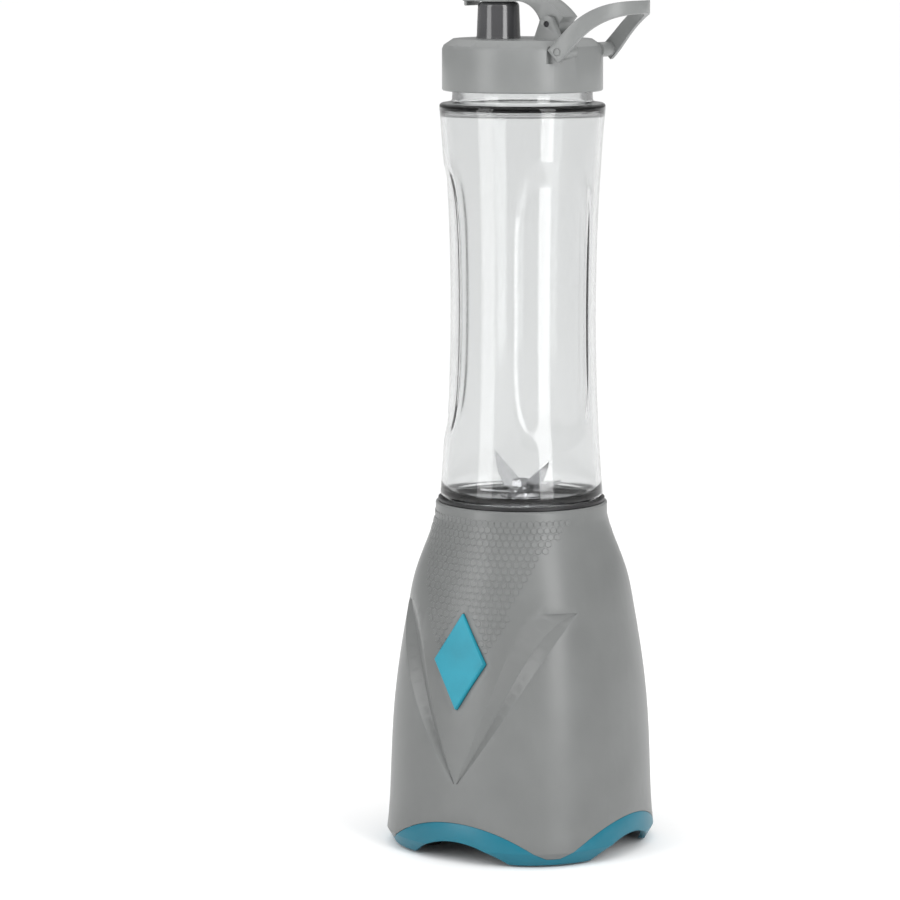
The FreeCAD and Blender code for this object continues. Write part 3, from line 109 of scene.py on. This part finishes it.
def moulded(name, tint, roughness, grain=0.5 * MM, relief=0.012 * MM, clouding=0.05, coat=0.0):
    """Moulded plastic: a fine spark-eroded grain, and a slight clouding of its colour and gloss."""
    finish = bpy.data.materials.new(name)
    finish.use_nodes = True
    nodes, links = finish.node_tree.nodes, finish.node_tree.links
    surface = nodes["Principled BSDF"]
    surface.inputs["Coat Weight"].default_value = coat
    surface.inputs["Coat Roughness"].default_value = 0.15
    surface.inputs["Specular IOR Level"].default_value = 0.4
    place = nodes.new("ShaderNodeTexCoord")
    cloud = nodes.new("ShaderNodeTexNoise")
    cloud.inputs["Scale"].default_value = 38.0
    cloud.inputs["Detail"].default_value = 4.0
    colours = nodes.new("ShaderNodeValToRGB")
    colours.color_ramp.elements[0].position = 0.35
    colours.color_ramp.elements[0].color = [c * (1 - clouding) for c in tint] + [1]
    colours.color_ramp.elements[1].position = 0.65
    colours.color_ramp.elements[1].color = [c * (1 + clouding) for c in tint] + [1]
    gloss = nodes.new("ShaderNodeMapRange")
    gloss.inputs["To Min"].default_value = roughness * 0.9
    gloss.inputs["To Max"].default_value = roughness * 1.12
    skin = nodes.new("ShaderNodeTexNoise")
    skin.inputs["Scale"].default_value = 1.0 / grain
    skin.inputs["Detail"].default_value = 2.0
    bump = nodes.new("ShaderNodeBump")
    bump.inputs["Strength"].default_value = 0.6
    bump.inputs["Distance"].default_value = relief
    links.new(place.outputs["Object"], cloud.inputs["Vector"])
    links.new(place.outputs["Object"], skin.inputs["Vector"])
    links.new(cloud.outputs["Fac"], colours.inputs["Fac"])
    links.new(colours.outputs["Color"], surface.inputs["Base Color"])
    links.new(cloud.outputs["Fac"], gloss.inputs["Value"])
    links.new(gloss.outputs["Result"], surface.inputs["Roughness"])
    links.new(skin.outputs["Fac"], bump.inputs["Height"])
    links.new(bump.outputs["Normal"], surface.inputs["Normal"])
    return finish


def shown_as(piece, node, finish, body):
    """Puts a finished piece in the place of the plain part it was made from."""
    piece.data.materials.append(finish)
    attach(piece, body)
    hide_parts(node)


casing = soft_edged("base_housing", "casing", 0.35 * MM, 28.0)
casing_finish = moulded("casing_satin", CASING_GRAY, 0.33)
shown_as(casing, "base_housing", casing_finish, "base")

# Front shield of the casing: the area above the button is covered with small raised six-sided cells,
# etched into the same mould, so they are the casing's own plastic. They fade out at the V relief.
CELL_PITCH = 3.4 * MM
CELL_PROUD = 0.30 * MM
CELL_SINK = 0.25 * MM
SHIELD_EDGE = ((92.5, 14.5), (100.0, 16.9), (109.0, 20.8), (122.0, 26.3), (131.0, 28.5), (150.0, 36.0),
               (158.0, 37.5))
SHIELD_RADIUS = 45.0 * MM
SHIELD_FOOT = 92.5 * MM
SHIELD_TOP = 157.2 * MM
SHIELD_HEIGHT = 66.0 * MM
SHIELD_COLUMNS = 18
BUTTON_MARGIN = 1.16
CASING_REACH = 0.09


def shield_half_width(z):
    for (z0, w0), (z1, w1) in zip(SHIELD_EDGE, SHIELD_EDGE[1:]):
        if z0 <= z <= z1:
            return w0 + (w1 - w0) * (z - z0) / (z1 - z0)
    return 0.0


button_low, button_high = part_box("power_button")
button_middle_z = (button_low.z + button_high.z) / 2
button_half_z = (button_high.z - button_low.z) / 2
button_half_x = 13.0 * MM
bpy.ops.object.select_all(action="DESELECT")
bpy.ops.mesh.primitive_cone_add(vertices=6, radius1=CELL_PITCH * 0.56, radius2=CELL_PITCH * 0.40,
                                depth=CELL_SINK + CELL_PROUD, end_fill_type="NGON")
cell = bpy.context.active_object
cells = []
row_step = CELL_PITCH * math.sqrt(3) / 2
row_count = int(SHIELD_HEIGHT / row_step)
column_step = CELL_PITCH / SHIELD_RADIUS
for row in range(row_count):
    z = SHIELD_FOOT + row * row_step
    for column in range(-SHIELD_COLUMNS, SHIELD_COLUMNS + 1):
        angle = (column + 0.5 * (row % 2)) * column_step
        out = Vector((math.sin(angle), -math.cos(angle), 0))
        hit, point, normal, face = casing.ray_cast(out * CASING_REACH + Vector((0, 0, z)), -out)
        if not hit or point.y > -0.01:
            continue
        if abs(point.x) > shield_half_width(point.z / MM) * MM - CELL_PITCH * 0.45:
            continue
        off_button = abs(point.x) / button_half_x + abs(point.z - button_middle_z) / button_half_z
        if off_button < BUTTON_MARGIN or point.z > SHIELD_TOP:
            continue
        copy = bpy.data.objects.new("cell", cell.data.copy())
        bpy.context.scene.collection.objects.link(copy)
        turn = normal.to_track_quat("Z", "Y").to_matrix().to_4x4()
        copy.matrix_world = Matrix.Translation(point + normal * (CELL_PROUD - CELL_SINK) / 2) @ turn
        cells.append(copy)
bpy.data.objects.remove(cell)
bpy.ops.object.select_all(action="DESELECT")
for copy in cells:
    copy.select_set(True)
bpy.context.view_layer.objects.active = cells[0]
bpy.ops.object.join()
bpy.ops.object.transform_apply(location=True, rotation=True, scale=True)
shield = bpy.context.active_object
shield.name = "shield_cells"
shield.data.materials.append(casing_finish)
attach(shield, "base")

# Skirt: a teal moulding that trims the foot of the casing. Its lower edge is cut into four arches, so
# that the blender stands on its corners.
SKIRT_TEAL = (0.004, 0.125, 0.180)
skirt = soft_edged("base_skirt", "skirt", 0.5 * MM)
shown_as(skirt, "base_skirt", moulded("skirt_satin", SKIRT_TEAL, 0.36), "base")

# Diamond button: a teal moulding with a fine matt texture on its face, which shows as light and dark
# specks. It slides in a guide collar behind the casing's front.
BUTTON_TEAL = (0.012, 0.215, 0.290)
diamond = soft_edged("power_button", "diamond", 0.35 * MM)
diamond_finish = moulded("diamond_matt", BUTTON_TEAL, 0.5, 0.9 * MM, 0.05 * MM, 0.12)
shown_as(diamond, "power_button", diamond_finish, "button")

# Return spring of the button: it sits between the button's flange and the switch bracket, which press it
# short as the button goes in; here it is only given a mesh of its own, at its rest length.
return_spring = soft_edged("button_spring", "return_spring", 0, 50.0)
spring_wire = moulded("spring_wire", (0.30, 0.30, 0.30), 0.3)
spring_wire.node_tree.nodes["Principled BSDF"].inputs["Metallic"].default_value = 1.0
shown_as(return_spring, "button_spring", spring_wire, "base")
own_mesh(return_spring)

# Bottle: a clear blow-moulded copolyester bottle, waisted, open at both ends, with three long oval grip
# panels pressed into its wall and a screw collar at each end.
PANEL_DEPTH = 1.2 * MM
PANEL_SQUARENESS = 4.5
PANEL_HALF_WIDTH = 19.5 * MM
PANEL_HALF_HEIGHT = 60.0 * MM
PANEL_EDGE = 0.08
FIRST_PANEL = math.radians(-31.5)


def lathe(name, outline, steps, angle=32.0):
    """A closed outline of (radius, height) points in millimetres, spun round the upright axis."""
    bpy.ops.object.select_all(action="DESELECT")
    bpy.ops.mesh.primitive_plane_add(size=MM)
    piece = bpy.context.active_object
    piece.name = name
    piece.data.name = name
    bpy.ops.object.mode_set(mode="EDIT")
    bpy.ops.mesh.select_all(action="SELECT")
    bpy.ops.mesh.merge(type="CENTER")
    bpy.ops.transform.translate(value=(outline[0][0] * MM, 0, outline[0][1] * MM))
    for (r0, z0), (r1, z1) in zip(outline, outline[1:]):
        bpy.ops.mesh.extrude_region_move(
            TRANSFORM_OT_translate={"value": ((r1 - r0) * MM, 0, (z1 - z0) * MM)})
    bpy.ops.mesh.select_all(action="SELECT")
    bpy.ops.mesh.remove_doubles(threshold=0.001 * MM)
    bpy.ops.mesh.select_all(action="SELECT")
    bpy.ops.mesh.spin(steps=steps, angle=2 * math.pi, center=(0, 0, 0), axis=(0, 0, 1))
    bpy.ops.mesh.select_all(action="SELECT")
    bpy.ops.mesh.remove_doubles(threshold=0.001 * MM)
    bpy.ops.mesh.normals_make_consistent(inside=False)
    bpy.ops.object.mode_set(mode="OBJECT")
    bpy.ops.object.shade_smooth_by_angle(angle=math.radians(angle))
    return piece


def arc_points(start, middle, end, count):
    """Points along the circle through three (radius, height) points."""
    (x0, y0), (x1, y1), (x2, y2) = start, middle, end
    d = 2 * (x0 * (y1 - y2) + x1 * (y2 - y0) + x2 * (y0 - y1))
    s0, s1, s2 = x0 * x0 + y0 * y0, x1 * x1 + y1 * y1, x2 * x2 + y2 * y2
    cx = (s0 * (y1 - y2) + s1 * (y2 - y0) + s2 * (y0 - y1)) / d
    cy = (s0 * (x2 - x1) + s1 * (x0 - x2) + s2 * (x1 - x0)) / d
    radius = math.hypot(x0 - cx, y0 - cy)
    a0 = math.atan2(y0 - cy, x0 - cx)
    turn = math.atan2(y2 - cy, x2 - cx) - a0
    turn = (turn + math.pi) % (2 * math.pi) - math.pi
    return [(cx + radius * math.cos(a0 + turn * i / count),
             cy + radius * math.sin(a0 + turn * i / count)) for i in range(count + 1)]


bottle_floor = 161.9
shoulder = 343.0
waist_z = (bottle_floor + shoulder) / 2
outer_wall = arc_points((37.5, bottle_floor + 2.2), (34.0, waist_z), (38.0, shoulder - 2.0), 72)
inner_wall = arc_points((35.6, shoulder - 4.2), (31.6, waist_z), (35.1, bottle_floor + 4.8), 72)
bottle_outline = [(30.4, 150.9), (33.1, 150.9), (33.1, 161.5), (33.5, bottle_floor),
                  (36.0, bottle_floor), (36.9, bottle_floor + 0.5), (37.35, bottle_floor + 1.3)]
bottle_outline += outer_wall
bottle_outline += [(37.9, shoulder - 1.1), (37.4, shoulder - 0.4), (36.6, shoulder), (33.4, shoulder + 0.5),
                   (32.5, shoulder + 0.9), (32.2, shoulder + 1.7), (32.2, 366.0), (31.8, 366.6),
                   (29.7, 366.7), (29.2, 366.1), (29.2, shoulder), (29.8, shoulder - 1.4),
                   (31.2, shoulder - 2.1), (34.4, shoulder - 2.7), (35.2, shoulder - 3.2)]
bottle_outline += inner_wall
bottle_outline += [(34.6, bottle_floor + 3.6), (33.4, bottle_floor + 2.8), (31.6, bottle_floor + 2.2),
                   (30.6, bottle_floor + 1.2), (30.4, bottle_floor)]
bottle_outline.append(bottle_outline[0])
bottle = lathe("clear_bottle", bottle_outline, 180)
for vertex in bottle.data.vertices:
    radius = math.hypot(vertex.co.x, vertex.co.y)
    if radius < 31.4 * MM:
        continue
    angle = math.atan2(vertex.co.y, vertex.co.x)
    for panel in range(3):
        off = (angle - FIRST_PANEL - panel * 2 * math.pi / 3 + math.pi) % (2 * math.pi) - math.pi
        across = off * 34.0 * MM / PANEL_HALF_WIDTH
        along = (vertex.co.z - waist_z * MM) / PANEL_HALF_HEIGHT
        spread = (abs(across) ** PANEL_SQUARENESS + abs(along) ** PANEL_SQUARENESS) ** (1 / PANEL_SQUARENESS)
        reach = (1.0 + PANEL_EDGE - spread) / (2 * PANEL_EDGE)
        reach = min(max(reach, 0.0), 1.0)
        press = PANEL_DEPTH * reach * reach * (3 - 2 * reach)
        vertex.co.x *= 1 - press / radius
        vertex.co.y *= 1 - press / radius


def clear_plastic(name, tint, roughness):
    """Clear plastic: faint ripples from blowing, and a haze of fine scratches in its gloss."""
    finish = bpy.data.materials.new(name)
    finish.use_nodes = True
    nodes, links = finish.node_tree.nodes, finish.node_tree.links
    surface = nodes["Principled BSDF"]
    surface.inputs["Base Color"].default_value = tint + (1,)
    surface.inputs["Transmission Weight"].default_value = 1.0
    surface.inputs["IOR"].default_value = 1.38
    place = nodes.new("ShaderNodeTexCoord")
    stretch = nodes.new("ShaderNodeMapping")
    stretch.inputs["Scale"].default_value = (1, 1, 0.25)
    haze = nodes.new("ShaderNodeTexNoise")
    haze.inputs["Scale"].default_value = 60.0
    haze.inputs["Detail"].default_value = 5.0
    gloss = nodes.new("ShaderNodeMapRange")
    gloss.inputs["To Min"].default_value = roughness * 0.4
    gloss.inputs["To Max"].default_value = roughness * 1.6
    ripple = nodes.new("ShaderNodeTexNoise")
    ripple.inputs["Scale"].default_value = 28.0
    bump = nodes.new("ShaderNodeBump")
    bump.inputs["Strength"].default_value = 0.25
    bump.inputs["Distance"].default_value = 0.25 * MM
    links.new(place.outputs["Object"], stretch.inputs["Vector"])
    links.new(stretch.outputs["Vector"], ripple.inputs["Vector"])
    links.new(place.outputs["Object"], haze.inputs["Vector"])
    links.new(haze.outputs["Fac"], gloss.inputs["Value"])
    links.new(gloss.outputs["Result"], surface.inputs["Roughness"])
    links.new(ripple.outputs["Fac"], bump.inputs["Height"])
    links.new(bump.outputs["Normal"], surface.inputs["Normal"])
    return finish


clear_finish = clear_plastic("bottle_clear", (0.82, 0.828, 0.828), 0.08)
shown_as(bottle, "bottle", clear_finish, "bottle_body")

# Threads of the bottle: three coarse ridges, moulded with it, on its neck and on its lower collar. A
# third of a turn on them draws the lid and the blade unit tight.
THREAD_LEAD = 24.0 * MM
THREAD_TURN = 100.0
THREAD_STEPS = 20
ridges = []
for root, crest, z in ((33.0, 34.4, 152.3), (32.1, 33.4, 354.2)):
    for start in range(3):
        bpy.ops.object.select_all(action="DESELECT")
        bpy.ops.mesh.primitive_plane_add(size=MM)
        ridge = bpy.context.active_object
        for vertex, (radius, level) in zip(ridge.data.vertices,
                                           ((root, -0.8), (crest, -0.45), (root, 0.8), (crest, 0.45))):
            vertex.co = (radius * MM, 0, (z + level) * MM)
        bpy.ops.object.mode_set(mode="EDIT")
        bpy.ops.mesh.select_all(action="SELECT")
        bpy.ops.mesh.delete(type="ONLY_FACE")
        bpy.ops.object.mode_set(mode="OBJECT")
        screw = ridge.modifiers.new("helix", "SCREW")
        screw.angle = math.radians(THREAD_TURN)
        screw.screw_offset = THREAD_LEAD * THREAD_TURN / 360
        screw.steps = THREAD_STEPS
        screw.render_steps = THREAD_STEPS
        bpy.ops.object.modifier_apply(modifier="helix")
        bpy.ops.object.mode_set(mode="EDIT")
        bpy.ops.mesh.select_all(action="SELECT")
        bpy.ops.mesh.fill_holes(sides=4)
        bpy.ops.mesh.normals_make_consistent(inside=False)
        bpy.ops.object.mode_set(mode="OBJECT")
        ridge.rotation_euler.z = start * 2 * math.pi / 3
        ridges.append(ridge)
bpy.ops.object.select_all(action="DESELECT")
for ridge in ridges:
    ridge.select_set(True)
bpy.context.view_layer.objects.active = ridges[0]
bpy.ops.object.transform_apply(location=True, rotation=True, scale=True)
bpy.ops.object.join()
threads = bpy.context.active_object
threads.name = "bottle_threads"
bpy.ops.object.shade_smooth_by_angle(angle=math.radians(30))
threads.data.materials.append(clear_finish)
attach(threads, "bottle_body")

# Lid: a gray moulded screw cap, with two ears for the cover's hinge pin and a boss on each side for the
# carry loop. The flip cover and the loop are separate mouldings of the same plastic.
LID_GRAY = (0.180, 0.186, 0.184)
lid_finish = moulded("lid_satin", LID_GRAY, 0.32)
for node, name, body in (("lid_cap", "screw_cap", "lid"), ("flip_cover", "drink_cover", "cover"),
                         ("carry_loop", "finger_loop", "loop")):
    shown_as(soft_edged(node, name, 0.6 * MM), node, lid_finish, body)

# Thumb lip: the tip of the flip cover ends in a short downward lip, so that a thumb can lift the cover.
# It is moulded with the cover and swings with it.
LIP_DROP = 2.2 * MM
LIP_THICK = 1.6 * MM
LIP_HALF = 6.0 * MM
LIP_ROOT = 1.2 * MM
LIP_SETBACK = 0.2 * MM
LIP_OVER_SPOUT = 0.9 * MM
LIP_ROUND = 0.5 * MM
cover_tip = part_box("flip_cover")[0].x
spout_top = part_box("spout")[1].z
bpy.ops.object.select_all(action="DESELECT")
bpy.ops.mesh.primitive_cube_add(size=1)
lip = bpy.context.active_object
lip.name = "thumb_lip"
lip.scale = (LIP_THICK, 2 * LIP_HALF, LIP_DROP + LIP_ROOT)
lip.location = (cover_tip + LIP_THICK / 2 + LIP_SETBACK, 0, spout_top + LIP_OVER_SPOUT - LIP_DROP / 2)
bpy.ops.object.transform_apply(location=True, rotation=True, scale=True)
rounding = lip.modifiers.new("edge", "BEVEL")
rounding.width = LIP_ROUND
rounding.segments = 2
bpy.ops.object.modifier_apply(modifier="edge")
bpy.ops.object.shade_smooth_by_angle(angle=math.radians(35))
lip.data.materials.append(lid_finish)
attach(lip, "cover")

# Spout: a smoky dark moulding with a polished surface, pressed through the cap.
SPOUT_SMOKE = (0.060, 0.060, 0.063)
SPOUT_X = -12.8 * MM
spout = lathe("drink_spout", [(7.0, 366.4), (8.2, 366.4), (8.2, 372.0), (10.4, 372.0), (10.3, 372.5),
                              (10.0, 373.2), (9.5, 386.3), (9.35, 387.2), (8.95, 387.9), (8.4, 388.3),
                              (7.9, 388.5), (7.4, 388.4), (7.0, 388.0), (7.0, 366.4)], 64)
spout.location.x = SPOUT_X
bpy.ops.object.transform_apply(location=True, rotation=False, scale=False)
shown_as(spout, "spout", moulded("spout_polished", SPOUT_SMOKE, 0.12, 1.5 * MM, 0.004 * MM, 0.1, 0.6),
         "lid")

# Blades: stamped stainless steel, with wings bent up and ground to an edge. Grinding leaves fine lines.


def ground_steel(name, tint, roughness, lines=900.0):
    """Steel with fine grinding lines, seen in its gloss and as a faint bump."""
    finish = bpy.data.materials.new(name)
    finish.use_nodes = True
    nodes, links = finish.node_tree.nodes, finish.node_tree.links
    surface = nodes["Principled BSDF"]
    surface.inputs["Metallic"].default_value = 1.0
    place = nodes.new("ShaderNodeTexCoord")
    stretch = nodes.new("ShaderNodeMapping")
    stretch.inputs["Scale"].default_value = (1, 0.06, 0.06)
    streaks = nodes.new("ShaderNodeTexNoise")
    streaks.inputs["Scale"].default_value = lines
    streaks.inputs["Detail"].default_value = 3.0
    colours = nodes.new("ShaderNodeValToRGB")
    colours.color_ramp.elements[0].color = [c * 0.86 for c in tint] + [1]
    colours.color_ramp.elements[1].color = list(tint) + [1]
    gloss = nodes.new("ShaderNodeMapRange")
    gloss.inputs["To Min"].default_value = roughness * 0.7
    gloss.inputs["To Max"].default_value = roughness * 1.4
    bump = nodes.new("ShaderNodeBump")
    bump.inputs["Strength"].default_value = 0.2
    bump.inputs["Distance"].default_value = 0.01 * MM
    links.new(place.outputs["Object"], stretch.inputs["Vector"])
    links.new(stretch.outputs["Vector"], streaks.inputs["Vector"])
    links.new(streaks.outputs["Fac"], colours.inputs["Fac"])
    links.new(colours.outputs["Color"], surface.inputs["Base Color"])
    links.new(streaks.outputs["Fac"], gloss.inputs["Value"])
    links.new(gloss.outputs["Result"], surface.inputs["Roughness"])
    links.new(streaks.outputs["Fac"], bump.inputs["Height"])
    links.new(bump.outputs["Normal"], surface.inputs["Normal"])
    return finish


stainless = ground_steel("stainless_ground", (0.66, 0.66, 0.67), 0.2)
for node, name in (("upper_blade", "upper_cutter"), ("lower_blade", "lower_cutter")):
    shown_as(soft_edged(node, name, 0.35 * MM, 30.0, 1), node, stainless, "blades")

# Parts whose plain shape is already right: screws, bearings, seals, the motor and the switch.
finishes = {
    "dark_plastic": moulded("black_moulding", (0.030, 0.030, 0.032), 0.45),
    # The blade holder is near-black plastic, and its rim is also painted shade: the dark ring it shows
    # between bottle and casing stands in for the shadow in that gap.
    "holder_black": moulded("holder_black_and_painted_gap_shade", (0.008, 0.008, 0.009), 0.4),
    "black_rubber": moulded("black_rubber_skin", (0.020, 0.020, 0.020), 0.7, 0.35 * MM, 0.03 * MM),
    "gray_rubber": moulded("gray_silicone", (0.180, 0.180, 0.180), 0.6),
    "plated_steel": ground_steel("zinc_plate", (0.60, 0.60, 0.60), 0.32),
    "stainless": stainless,
    "cast_aluminium": ground_steel("die_cast", (0.52, 0.52, 0.53), 0.5, 300.0),
    "lamination_steel": ground_steel("varnished_laminations", (0.22, 0.22, 0.23), 0.45, 2200.0),
    "copper_winding": ground_steel("enamelled_copper", (0.50, 0.19, 0.08), 0.3, 1500.0),
    "bronze": ground_steel("sintered_bronze", (0.55, 0.38, 0.18), 0.45),
    "carbon": moulded("pressed_carbon", (0.045, 0.045, 0.045), 0.6),
}
black_oxide = ground_steel("black_oxide", (0.030, 0.030, 0.032), 0.4)
slots = {s["node"]: s["material_slot"] for s in frame["record"]["subparts"]}
for node, part in frame["nodes"].items():
    if slots[node] in finishes:
        part.data.materials.clear()
        part.data.materials.append(black_oxide if node == "hinge_pin" else finishes[slots[node]])

# Studio: a pale floor of paper under a bright sky, with a tall soft box on each side of the camera.
SWEEP_WHITE = (0.92, 0.92, 0.92, 1)
bpy.ops.object.select_all(action="DESELECT")
bpy.ops.mesh.primitive_plane_add(size=80)
sweep = bpy.context.active_object
sweep.name = "paper_floor"
paper = bpy.data.materials.new("paper")
paper.use_nodes = True
paper.node_tree.nodes["Principled BSDF"].inputs["Base Color"].default_value = SWEEP_WHITE
paper.node_tree.nodes["Principled BSDF"].inputs["Roughness"].default_value = 0.9
sweep.data.materials.append(paper)

world = bpy.data.worlds.new("studio")
world.use_nodes = True
sky, sky_links = world.node_tree.nodes, world.node_tree.links
sky_place = sky.new("ShaderNodeTexCoord")
sky_parts = sky.new("ShaderNodeSeparateXYZ")
sky_ramp = sky.new("ShaderNodeValToRGB")
sky_ramp.color_ramp.elements[0].position = 0.25
sky_ramp.color_ramp.elements[0].color = (0.26, 0.26, 0.26, 1)
sky_ramp.color_ramp.elements[1].position = 0.80
sky_ramp.color_ramp.elements[1].color = (1, 1, 1, 1)
sky_links.new(sky_place.outputs["Generated"], sky_parts.inputs["Vector"])
sky_links.new(sky_parts.outputs["Z"], sky_ramp.inputs["Fac"])
sky_links.new(sky_ramp.outputs["Color"], sky["Background"].inputs["Color"])
sky["Background"].inputs["Strength"].default_value = 1.45
bpy.context.scene.world = world

VIEW_AZIMUTH = 32.0
VIEW_ELEVATION = 8.0
VIEW_DISTANCE = 1.8
AIM = Vector((-0.028, -0.0175, 0.183))


def direction(azimuth, elevation):
    a, e = math.radians(azimuth), math.radians(elevation)
    return Vector((math.sin(a) * math.cos(e), -math.cos(a) * math.cos(e), math.sin(e)))


def soft_box(name, azimuth, elevation, distance, width, height, power):
    light = bpy.data.lights.new(name, "AREA")
    light.shape = "RECTANGLE"
    light.size = width
    light.size_y = height
    light.energy = power
    lamp = bpy.data.objects.new(name, light)
    bpy.context.scene.collection.objects.link(lamp)
    lamp.location = AIM + direction(azimuth, elevation) * distance
    lamp.rotation_euler = (lamp.location - AIM).to_track_quat("Z", "Y").to_euler()


soft_box("left_box", VIEW_AZIMUTH - 54, 14, 1.3, 0.55, 1.3, 8)
soft_box("right_box", VIEW_AZIMUTH + 36, 14, 1.3, 0.45, 1.3, 11)

camera = bpy.data.objects.new("camera", bpy.data.cameras.new("camera"))
bpy.context.scene.collection.objects.link(camera)
camera.data.lens = 156
camera.location = AIM + direction(VIEW_AZIMUTH, VIEW_ELEVATION) * VIEW_DISTANCE
camera.rotation_euler = (camera.location - AIM).to_track_quat("Z", "Y").to_euler()
bpy.context.scene.camera = camera
